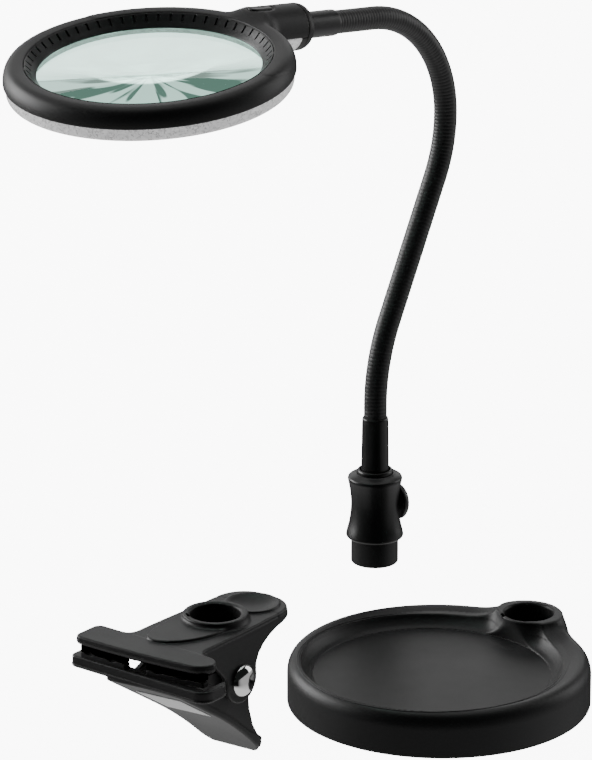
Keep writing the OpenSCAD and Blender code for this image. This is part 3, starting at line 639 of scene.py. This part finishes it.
def build_stem():
    """The plug, the waisted grip, the collar ring and the supply inlet. Heights are from the plug's end."""
    plug = revolve("plug_moulding", [
        (2.5, 10), (8.4, 10), (8.4, 0.0, 0.4), (10.3, 0.0, 0.5), (10.8, 0.6, 0.6), (10.8, 11.6, 0.2),
        (10.5, 12.0), (8.9, 12.0), (8.9, 17.0), (2.5, 17.0)], STEM, BLACK)
    show(plug, "stem", "black_plastic", "plug")
    grip = revolve("grip_moulding", [
        (9.0, 12.05), (12.2, 12.05, 0.6), (13.25, 13.1, 0.9), (12.75, 15.6, 1.5), (11.95, 18.6, 2),
        (11.3, 22.2, 3), (10.95, 26, 3), (10.85, 28.5, 3), (11.05, 32, 3), (11.55, 36, 3), (12.1, 38.8, 2),
        (12.5, 40.4, 0.7), (12.35, 41.4, 0.8), (11.1, 42.2, 1.2), (9.3, 42.9, 0.8), (8.75, 43.25, 0.3),
        (8.25, 43.1, 0.2), (8.25, 40.05), (9.0, 40.05)], STEM, SATIN)
    show(grip, "stem", "satin_black", "grip")
    ring = revolve("collar_moulding", [
        (7.0, 40.15), (8.15, 40.15), (8.15, 44.3, 0.3), (7.75, 45.0, 0.4), (7.0, 45.0, 0.3)], STEM, SATIN)
    show(ring, "stem", "satin_black", "collar_ring")
    inlet_low, inlet_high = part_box("power_inlet")
    inlet_z = (inlet_low.z + inlet_high.z) / 2 / MM
    inlet = shift(STEM_AXIS.x, STEM_AXIS.y, inlet_z) @ turn("Z", 25) @ turn("Y", 90)
    dome = revolve("inlet_moulding", [
        (4.35, 8.4), (6.5, 8.4), (7.3, 10.2), (8.35, 11.2, 0.4), (8.2, 12.5, 1), (7.1, 13.9, 1.5),
        (5.2, 15.0, 1.5), (3.2, 15.35, 0.4), (2.9, 15.1, 0.2), (2.9, 14.0), (4.35, 13.9)],
        inlet, SATIN, sides=96)
    show(dome, "stem", "satin_black", "power_inlet")
    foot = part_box("lower_ferrule")[0].z / MM - STEM.translation.z
    top = FERRULE_TOP - STEM.translation.z
    ferrule = revolve("lower_ferrule_sleeve", [
        (2.1, foot), (6.35, foot), (6.35, foot + 1.6), (5.6, foot + 1.6), (5.6, foot + 2.7),
        (6.35, foot + 2.7), (6.35, 45.1, 0.3), (6.05, top - 3.2, 0.5), (5.9, top - 0.7, 0.3),
        (5.55, top - 0.1, 0.3), (4.3, top - 0.1), (4.3, top - 14), (2.1, top - 14)], STEM, SATIN)
    show(ferrule, "swivel", "satin_black", "lower_ferrule")


# ---- Gooseneck ----


def build_gooseneck():
    """One finely ringed skin, split in the ring grooves at the middle of each length. The first and last
    pieces go on the swivel and the head. The others stay in the shared frame."""
    bodies = ["swivel"] + [f"gooseneck_{k:02d}" for k in range(2, SEGMENTS)] + ["head"]
    per_ring = 8
    for k in range(SEGMENTS + 1):
        s0, s1 = max(k - 0.5, 0) * PITCH, min(k + 0.5, SEGMENTS) * PITCH
        rings = round((s1 - s0) / PITCH * RINGS_PER_SEGMENT)
        s = np.linspace(s0, s1, rings * per_ring + 1)
        wave = np.abs(np.sin(np.pi * (s - s0) * rings / (s1 - s0)))
        radius = TUBE_R - 0.12 * (1 - wave ** 0.6)
        line = [on_path(value).translation for value in s]
        name = f"gooseneck_skin_{k:02d}"
        piece = tube(name, line, radius, Matrix.Identity(4), SKIN, sides=64, hollow=4.25)
        stands_for = [f"gooseneck_{k:02d}"] if k else []
        if k in (0, SEGMENTS):
            show(piece, bodies[0 if k == 0 else -1], "gooseneck_skin", *stands_for)
            continue
        ends = [on_path(value).translation * MM for value in (s0, s1)]
        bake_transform(piece)
        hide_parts(*stands_for)


# ---- Head ----


def to_neck(x, y, z):
    """Head coordinates to neck coordinates."""
    c, s = math.cos(math.radians(NECK_BEND)), math.sin(math.radians(NECK_BEND))
    x, z = x - NECK_REACH, z + NECK_RISE
    return x * c - z * s, y, x * s + z * c


def head_parts(x, y, z, inset):
    """The ring and the neck's barrel, both shrunk by inset."""
    r = np.hypot(x, y)
    out = np.maximum(r - 57, 0)
    dip = 0.35 * np.clip((57 - r) / 4, 0, 2) ** 2
    up = np.maximum(z + dip + 3, 0)
    wide, high = HEAD_R - 57 - inset, 8.4 - inset
    ring = (((out / wide) ** 2.3 + (up / high) ** 2.3) ** (1 / 2.3) - 1) * wide
    u, v, w = to_neck(x, y, z)
    barrel = corner(np.hypot(v, w) - NECK_R + inset, -34 - u, 6)
    return r, ring, barrel, u, v, w


def head_field(x, y, z):
    """Ring-shaped housing, open below, that flows into the neck's upper half, with the button's recess."""
    r, ring, barrel, u, v, w = head_parts(x, y, z, 0)
    flow = smooth_min(ring, barrel, 7)
    flow = corner(flow, u + COLLAR_LEN + 0.1, 0.3)
    above = corner(flow, SPLIT_Z - w, 0.3)
    above = np.maximum(above, -np.maximum(r - HEAD_R + 0.5, z + 3))
    solid = smooth_min(corner(ring, -3 - z, 0.3), above, 0.6)
    solid = smooth_max(solid, RING_R - 0.05 - r, 0.9)
    stadium = oblong(u - BUTTON_X, v, 6.2, 3, 3)
    dish = smooth_max(stadium - 1.3, NECK_R - 0.9 - w, 0.8)
    solid = smooth_max(solid, -dish, 0.7)
    hole = np.maximum(stadium - 0.2, NECK_R - 4 - w)
    solid = smooth_max(solid, -hole, 0.3)
    _, ring_in, barrel_in, _, _, _ = head_parts(x, y, z, NECK_WALL)
    hollow = smooth_min(ring_in, barrel_in, 5)
    return smooth_max(solid, -hollow, 0.3)


def neck_cover_field(x, y, z):
    """The neck's lower half, outside the ring, with a wall that closes it towards the ring."""
    r, _, barrel, u, v, w = head_parts(x, y, z, 0)
    cover = corner(barrel, u + COLLAR_LEN + 0.1, 0.3)
    cover = corner(cover, w - SPLIT_Z + 0.1, 0.3)
    cover = corner(cover, HEAD_R + 0.25 - r, 0.8)
    inside = np.maximum(np.hypot(v, w) - NECK_R + NECK_WALL, HEAD_R + 0.25 + NECK_WALL - r)
    return smooth_max(cover, -inside, 0.2)


def blacken_cover_band(cover):
    """Gives the cover a black band next to the collar. Points near the band's edge move onto it."""
    to_neck_frame = NECK.inverted()
    edge, near = -COLLAR_LEN - COVER_BAND, 0.3
    cover.data.materials.append(BLACK)
    for vertex in cover.data.vertices:
        at = to_neck_frame @ (vertex.co / MM)
        if abs(at.x - edge) < near:
            vertex.co = NECK @ Vector((edge, at.y, at.z)) * MM
    for face in cover.data.polygons:
        face.material_index = int((to_neck_frame @ (face.center / MM)).x > edge)


def button_field(x, y, z):
    u, v, w = to_neck(x, y, z)
    plan = oblong(u - BUTTON_X, v, 6.2, 3, 3)
    button = slab(plan, w, NECK_R - 2.6, NECK_R - 0.2, 0.7)
    thumb = np.hypot(np.hypot((u - BUTTON_X) / 2.2, v), w - NECK_R - 4.4) - 4.9
    return smooth_max(button, -thumb, 0.3)


def build_lens_ring():
    """The sloping ring round the lens, with short slots cut in its upper part."""
    slot_depth, outward, down = 0.75, 0.74, 0.68
    profile = [  # radius, height, and 1 where the slots are cut
        (47.9, -0.35, 0), (47.9, 0, 0), (48.15, 0.35, 0), (49.3, 1.5, 0), (49.9, 2.1, 0), (50.15, 2.35, 1),
        (50.8, 3.05, 1), (51.6, 3.9, 1), (52.2, 4.5, 1), (52.42, 4.75, 0), (52.75, 5.0, 0), (52.9, 4.75, 0),
        (52.9, -2.6, 0), (50.3, -2.6, 0), (50.3, -0.6, 0),
    ]
    period = 360 / SLOTS
    half = math.degrees(0.42 / 51.3)
    offsets = [-half - 0.16, -half, half, half + 0.16, period * 0.3, period * 0.5, period * 0.7]
    depth = [0, 1, 1, 0, 0, 0, 0]
    points = []
    for r, z, cut in profile:
        for i in range(SLOTS):
            for offset, deep in zip(offsets, depth):
                a = math.radians(i * period + offset)
                sink = slot_depth * deep * cut
                reach = r + sink * outward
                points.append((reach * math.cos(a), reach * math.sin(a), z - sink * down))
    sides = SLOTS * len(offsets)
    faces = grid_faces(len(profile), len(profile), sides)
    ring = add_mesh("lens_ring_slotted", points, faces, HEAD, SATIN, sharp=32)
    ring.data.materials.append(PAINTED_LIGHT_SEAT)
    to_head = HEAD.inverted()
    for face in ring.data.polygons:
        centre = to_head @ (face.center / MM)
        # The inner faces get the seat's painted light.
        face.material_index = int(centre.xy.length < 50.45 and centre.z < -0.45)
    show(ring, "head", "satin_black", "lens_ring")


def build_lens():
    """Equal-sided lens, thicker in the middle, with a small ground bevel at its edge."""
    curve = (LENS_R ** 2 + LENS_SAG ** 2) / (2 * LENS_SAG)
    top, bottom = LENS_EDGE_TOP, LENS_EDGE_TOP - LENS_EDGE
    radii = np.linspace(0, LENS_R - 0.25, 49)
    drop = curve - np.sqrt(curve ** 2 - radii ** 2)
    upper = [(r, top + LENS_SAG - d) for r, d in zip(radii, drop)]
    lower = [(r, bottom - LENS_SAG + d) for r, d in zip(radii[::-1], drop[::-1])]
    edge = [(LENS_R, top - 0.25), (LENS_R, bottom + 0.25)]
    lens = revolve("lens_glass", upper + edge + lower, HEAD, GLASS, sides=192, closed=False)
    show(lens, "head", "lens_glass", "lens")


def build_head():
    reach = NECK_REACH - COLLAR_LEN + 2
    housing = moulding("head_moulding", head_field, (-65, -65, -11.5), (reach, 65, 13), 0.62, HEAD, BLACK)
    show(housing, "head", "black_plastic", "head_housing")
    cover = moulding("neck_cover_moulding", neck_cover_field, (58, -13, -21), (reach, 13, 4), 0.4, HEAD,
                     GLOWING_FROST)
    blacken_cover_band(cover)
    show(cover, "head", "frosted_plastic", "neck_cover")
    button = moulding("button_cap", button_field, (54, -5, -2), (74, 5, 16), 0.25, HEAD, BUTTON)
    show(button, "button", "button_plastic", "power_button")
    build_lens_ring()
    build_lens()
    diffuser = revolve("diffuser_cover", [
        (61.5, -3.1, 0.2), (61.3, -7.5, 0.6), (60.3, -8.9, 0.9), (57.5, -8.9), (54.5, -8.9), (51.5, -8.9),
        (48.5, -8.9, 0.7), (48.5, -4.6), (49.8, -4.6), (49.8, -7.6, 0.4), (59.4, -7.6, 0.6), (59.9, -3.1)],
        HEAD, GLOWING_FROST, sides=240)
    show(diffuser, "head", "frosted_plastic", "diffuser")
    along = NECK @ turn("Y", 90)
    collar = revolve("neck_collar_moulding", [
        (5.95, -5), (10.5, -5, 0.1), (10.5, -3.6, 0.8), (10.0, -1.6, 0.8), (8.6, -0.4, 0.8), (6.6, 0, 0.3),
        (5.95, -0.6)], along, BLACK, sides=96)
    show(collar, "head", "black_plastic", "neck_collar")
    sleeve = revolve("upper_ferrule_sleeve", [
        (2.1, -7.6), (8, -7.6), (8, -5.1), (5.8, -5.1), (5.8, 0.2), (5.9, 0.5, 0.2), (5.9, 18.9, 0.3),
        (5.75, 20.0, 0.3), (4.3, 20.1), (4.3, 9.3), (2.1, 9.3)], along, SATIN, sides=96)
    show(sleeve, "head", "satin_black", "upper_ferrule")


# ---- Clamp ----


def jaw_plan(x, y, front, back, aside, half, near_r, far_r):
    """A jaw's outline. Its left corners have radius near_r and its right corners far_r."""
    radius = np.interp(y, [-10, 25], [far_r, near_r])
    return oblong(x - (front + back) / 2, y - aside, (back - front) / 2, half, radius)


def upper_jaw_field(x, y, z):
    """Top plate with a wide jaw, side skirts, the socket's collar, a leaf-shaped pad and a thumb dish."""
    side = np.abs(y)
    front = -50.9 + 0.0012 * np.maximum(30 - y, 0) ** 2
    bar = jaw_plan(x, y, front, -34.5, 2, JAW_HALF, 3.6, 7.5)
    width = np.interp(x, [-30, -8, 10, 26], [18.6, 18.2, 17.6, 16.8])
    waist = np.maximum(corner(side - width, x - 37, 14), -42 - x)
    plan = smooth_min(bar, waist, 6)
    plate = slab(plan, z, PLATE_Z - 3, PLATE_Z, 0.8)
    lip = slab(bar, z, PLATE_Z - 3.6, PLATE_Z, 0.9)
    tail = slab(np.maximum(plan, 22 - x), z, PLATE_Z - 4.6, PLATE_Z, 1.0)
    low = np.interp(x, [-30, -24, -18, -8, 0, 2, 5, 9, 14, 20, 26, 38],
                    [61, 53, 46, 42, 44, 46, 50.2, 53.4, 55.8, 57.6, 58.6, 59.5])
    ear = np.hypot(x - PIVOT_X, z - PIVOT_Z) - 10.2
    sheet = smooth_min(0.72 * (low - z), ear, 3)
    flared = plan - FLARE * np.clip(PLATE_Z - z, 0, 20)
    skirt = corner(np.maximum(flared, -flared - 2.8), np.maximum(sheet, z - PLATE_Z + 1.4), 0.6)
    solid = smooth_min(smooth_min(plate, skirt, 0.6), smooth_min(lip, tail, 0.4), 0.5)
    leaf = (np.hypot((x + 9) / 27.5, (y - 0.8 - 0.005 * np.minimum(x + 8, 0) ** 2) / 13.2) - 1) * 13.2
    solid = smooth_min(solid, slab(leaf, z, PLATE_Z - 2, PLATE_Z + 1.2, 0.5), 0.6)
    oval = (np.hypot((x - 24) / 11.8, (y + 0.8) / 12.2) - 1) * 11.8
    solid = smooth_min(solid, slab(oval, z, PLATE_Z - 2, PLATE_Z + 0.9, 0.5), 0.6)
    dish = np.sqrt(((x - 24) / 10.8) ** 2 + ((y + 0.4) / 11.2) ** 2 + ((z - PLATE_Z - 2.2) / 3.9) ** 2)
    solid = smooth_max(solid, -(dish - 1) * 3.9, 0.7)
    out = np.hypot(x, y)
    collar_top = PLATE_Z + 3.4
    under_plate = rise(-z, 3.5 - PLATE_Z, 6 - PLATE_Z)
    collar_r = SOCKET_R + 0.3 * np.clip(collar_top - 1 - z, 0, 5) ** 1.1 - 1.9 * under_plate
    collar = slab(out - collar_r, z, collar_top - SOCKET_DEPTH - 2, collar_top, 0.7)
    solid = smooth_min(solid, collar, 1.3)
    mouth = 0.8 * rise(z, collar_top - 0.8, collar_top)
    solid = smooth_max(solid, -socket_cut(x, y, z, collar_top, NOTCH_HEADING - CLAMP_HEADING, mouth), 0.3)
    pin = np.hypot(x - PIVOT_X, z - PIVOT_Z) - 2.5
    return smooth_max(solid, -pin, 0.2)


def lower_jaw_field(x, y, z):
    """Lower jaw bar, sloping lever with a rounded tip, and the side walls that hold the pivot."""
    side = np.abs(y)
    outline = jaw_plan(x, y, -51, -33, 1.6, JAW_HALF + 2.8, 3, 6)
    bar = slab(outline, z, 48.4, 53.8, 0.8)
    hollow = np.maximum(np.maximum(-46.8 - x, x + 28), np.abs(y - 1.6) - JAW_HALF + 0.6)
    bar = corner(bar, -hollow, 0.4)
    bead = np.hypot(outline, z - 49.6) - 0.35
    bar = smooth_min(bar, bead, 0.2)
    c, s = math.cos(math.radians(LEVER_SLOPE)), math.sin(math.radians(LEVER_SLOPE))
    u = (x - LEVER_X) * c - (z - LEVER_Z) * s
    w = (x - LEVER_X) * s + (z - LEVER_Z) * c
    w = w + 0.0024 * np.maximum(u - 24, 0) ** 2 + y * math.tan(math.radians(LEVER_ROLL))
    half = np.interp(u, [-8, 30, 64], [17.4, 16.8, 15.2])
    plan = np.maximum(corner(side - half, u - 70.5, 10), -12.2 - u)
    lever = slab(plan, w, 0, 3 + 2.6 * rise(u, 50, 68), 0.7)
    back = np.interp(z, [0, 8, 12, 16.5, 25, 30, 43, 52], [16, 12, 9, 6.2, 3.3, 2.6, 1, 0])
    top = np.interp(x, [-37, -27], [46, 50])
    region = np.maximum(np.maximum(np.maximum(z - top, 0.6 - w), 0.95 * (x - back)), u - 65)
    wall = corner(np.abs(side - half + 1.4) - 1.35, region, 0.5)
    solid = smooth_min(smooth_min(lever, wall, 0.5), bar, 0.8)
    pin = np.hypot(x - PIVOT_X, z - PIVOT_Z) - 2.5
    solid = smooth_max(solid, -pin, 0.2)
    return corner(solid, 0.05 - z, 0.3)


def pad_field(x, y, z):
    """A rubber strip, teeth up, with shallow scallops 12 mm apart and one deep one near the middle."""
    front = -50.5 + 0.0012 * np.maximum(30 - y, 0) ** 2
    block = slab(oblong(x - front - 1.9, y - 1, 1.9, 31.6, 0.6), z, 0, 2.4, 0.2)
    nearest = y - 3.9 - np.round((y - 3.9) / 12) * 12
    scallop = np.hypot(nearest, z - 8) - 6.2
    gap = slab(np.abs(y - 3.9) - 6.4 + 1.6 * rise(y, 3, 11), z, 0.35, 5, 0.5)
    return smooth_max(block, -smooth_min(scallop, gap, 0.3), 0.2)


def coil_line(start, end, leg, side):
    """Part of the torsion spring's wire, in the pivot's frame with Z along the pin."""
    turns, pitch, radius, first = 5.786, 2.1, 6.2, 20

    def at(t):
        a = math.radians(360 * t + first)
        return np.array([radius * math.cos(a), radius * math.sin(a), (t - turns / 2) * pitch])

    line = [at(t) for t in np.linspace(start, end, max(2, int((end - start) * 40) + 1))]
    if leg:
        a = math.radians(360 * (0 if side < 0 else turns) + first + side * 90)
        tip = at(0 if side < 0 else turns) + leg * np.array([math.cos(a), math.sin(a), 0])
        line = [tip] + line if side < 0 else line + [tip]
    return line


def build_clamp():
    upper = moulding("clamp_top_moulding", upper_jaw_field, (-53, -37, 30), (39, 39, 69), 0.6, CLAMP, BLACK)
    show(upper, "clamp", "black_plastic", "clamp_upper_jaw")
    lower = moulding("clamp_lever_moulding", lower_jaw_field, (-53, -38, -1), (30, 40, 56), 0.6, CLAMP, BLACK)
    show(lower, "clamp_lever", "black_plastic", "clamp_lower_jaw")
    top_pad = moulding("upper_pad_rubber", pad_field, (-52, -34, -1), (-33, 37, 4), 0.35,
                       CLAMP @ shift(0, 0, PLATE_Z - 3.6) @ Matrix.Diagonal((1, 1, -1.28, 1)), RUBBER)
    top_pad.data.flip_normals()
    show(top_pad, "clamp", "rubber", "upper_jaw_pad")
    low_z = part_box("lower_jaw_pad")[0].z / MM
    low_pad = moulding("lower_pad_rubber", pad_field, (-52, -34, -1), (-33, 37, 4), 0.35,
                       CLAMP @ shift(0, 0, low_z), RUBBER)
    show(low_pad, "clamp_lever", "rubber", "lower_jaw_pad")
    for name, flip in (("pivot_cap_left", 0), ("pivot_cap_right", 180)):
        place = CLAMP @ shift(PIVOT_X, 0, PIVOT_Z) @ turn("Z", flip) @ turn("X", -90)
        rim, dome = WAIST_HALF + 0.05, [(7.0 * math.cos(a), WAIST_HALF + 0.5 + 2.9 * math.sin(a))
                                        for a in np.radians(np.linspace(0, 90, 15))]
        cap = revolve(name, [(2.45, rim), (6.8, rim, 0.1)] + dome + [(0, rim + 1.05), (2.45, rim + 1.05)],
                      place, CHROME, sides=96, closed=False)
        show(cap, "clamp", "chrome", *(["pivot_caps"] if not flip else []))
    spring = CLAMP @ shift(PIVOT_X, 0, PIVOT_Z) @ turn("X", 90)
    coil = tube("spring_coil", coil_line(0.02, 5.786, 34, 1), 0.9, spring, STEEL, sides=16)
    show(coil, "clamp", "steel", "torsion_spring")
    leg = tube("spring_lever_leg", coil_line(0, 0.02, 34, -1), 0.9, spring, STEEL, sides=16)
    show(leg, "clamp_lever", "steel")
    sheet = CLAMP @ LEVER_IN_CLAMP @ turn("X", -LEVER_ROLL)

    def label_field(x, y, z):
        return slab(oblong(x - 13.1, y + 1.5, 12.6, 11.8, 0.8), z, -0.32, -0.02, 0.1)

    label = moulding("blank_label_sheet", label_field, (0, -14, -0.6), (26.4, 14, 0.3), 0.16, sheet, LABEL)
    show(label, "clamp_lever", "label", "clamp_label")


# ---- Floor, lights and camera ----


def build_floor():
    """A plain pale floor, brightest to the camera and through the lens. Reflections see it darker."""
    material, tree, shader, place = new_material("pale_floor")
    faint = noise(tree, place, 9.0, 2.0)
    tree.links.new(mix(tree, faint, grey(0.86), grey(0.89)), shader.inputs["Base Color"])
    shader.inputs["Roughness"].default_value = 0.8
    shader.inputs["Specular IOR Level"].default_value = 0.0
    path = put(tree, "ShaderNodeLightPath")
    seen = put(tree, "ShaderNodeMath", {"operation": "MAXIMUM"}, i0=path.outputs["Is Camera Ray"],
               i1=path.outputs["Is Transmission Ray"]).outputs[0]
    lift = put(tree, "ShaderNodeEmission", Color=grey(1.0),
               Strength=spread(tree, path.outputs["Is Camera Ray"], 0, 1, 2.6, 9.0))
    bright = put(tree, "ShaderNodeAddShader", i0=shader.outputs[0], i1=lift.outputs[0])
    way = put(tree, "ShaderNodeSeparateXYZ", Vector=put(tree, "ShaderNodeNewGeometry").outputs["Incoming"])
    steep = spread(tree, way.outputs["Z"], 0.4, 0.62)
    rightward = spread(tree, way.outputs["X"], -0.6, -0.9, 0.004, 0.45)
    glow = mix(tree, steep, rightward, grey(0.85))
    dark = put(tree, "ShaderNodeEmission", Color=grey(1.0), Strength=glow)
    both = put(tree, "ShaderNodeMixShader", i0=seen, i1=dark.outputs[0], i2=bright.outputs[0])
    tree.links.new(both.outputs[0], tree.nodes["Material Output"].inputs["Surface"])
    mesh = bpy.data.meshes.new("floor")
    half = 4.0
    corners = [(-half, -half, 0), (half, -half, 0), (half, half, 0), (-half, half, 0)]
    mesh.from_pydata(corners, [], [(0, 1, 2, 3)])
    mesh.materials.append(material)
    floor = bpy.data.objects.new("floor", mesh)
    bpy.context.scene.collection.objects.link(floor)


def softbox(name, place, target, size, watts):
    light = bpy.data.lights.new(name, "AREA")
    light.shape, (light.size, light.size_y) = "RECTANGLE", size
    light.energy = watts
    obj = bpy.data.objects.new(name, light)
    bpy.context.scene.collection.objects.link(obj)
    obj.location = place
    obj.rotation_euler = (Vector(target) - Vector(place)).to_track_quat("-Z", "Y").to_euler()


def build_studio():
    """Soft lights and a dim room. Seen through the lens, the room has pale and dark green patches."""
    world = bpy.data.worlds.new("studio")
    bpy.context.scene.world = world
    world.use_nodes = True
    tree = world.node_tree
    tree.nodes["Background"].inputs["Color"].default_value = (0.86, 1, 0.95, 1)
    way = put(tree, "ShaderNodeTexCoord").outputs["Generated"]
    patch = spread(tree, noise(tree, way, 7.0, 1.0), 0.47, 0.52, 0.12, 1.6)
    through = put(tree, "ShaderNodeLightPath").outputs["Is Transmission Ray"]
    tree.links.new(mix(tree, through, grey(0.012), patch), tree.nodes["Background"].inputs["Strength"])
    centre = (-0.05, 0.0, 0.12)
    softbox("overhead", (-0.1, 0.5, 1.9), centre, (2.4, 1.8), 13)
    softbox("left_wall", (-1.7, 0.7, 0.5), centre, (1.4, 1.2), 40)
    softbox("right_wall", (1.6, 0.8, 0.6), centre, (1.0, 1.5), 10)
    softbox("back_wall", (-0.3, 2.6, 1.1), centre, (3.2, 1.6), 18)
    camera = bpy.data.cameras.new("camera")
    camera.sensor_width, camera.lens = 36, FOCAL
    eye = bpy.data.objects.new("camera", camera)
    bpy.context.scene.collection.objects.link(eye)
    eye.location = EYE
    eye.rotation_euler = (math.radians(90 - DIP), 0, 0)
    camera.clip_end = 20
    bpy.context.scene.camera = eye


finish_carried_nodes()
build_base()
build_stem()
build_gooseneck()
build_head()
build_clamp()
build_floor()
build_studio()
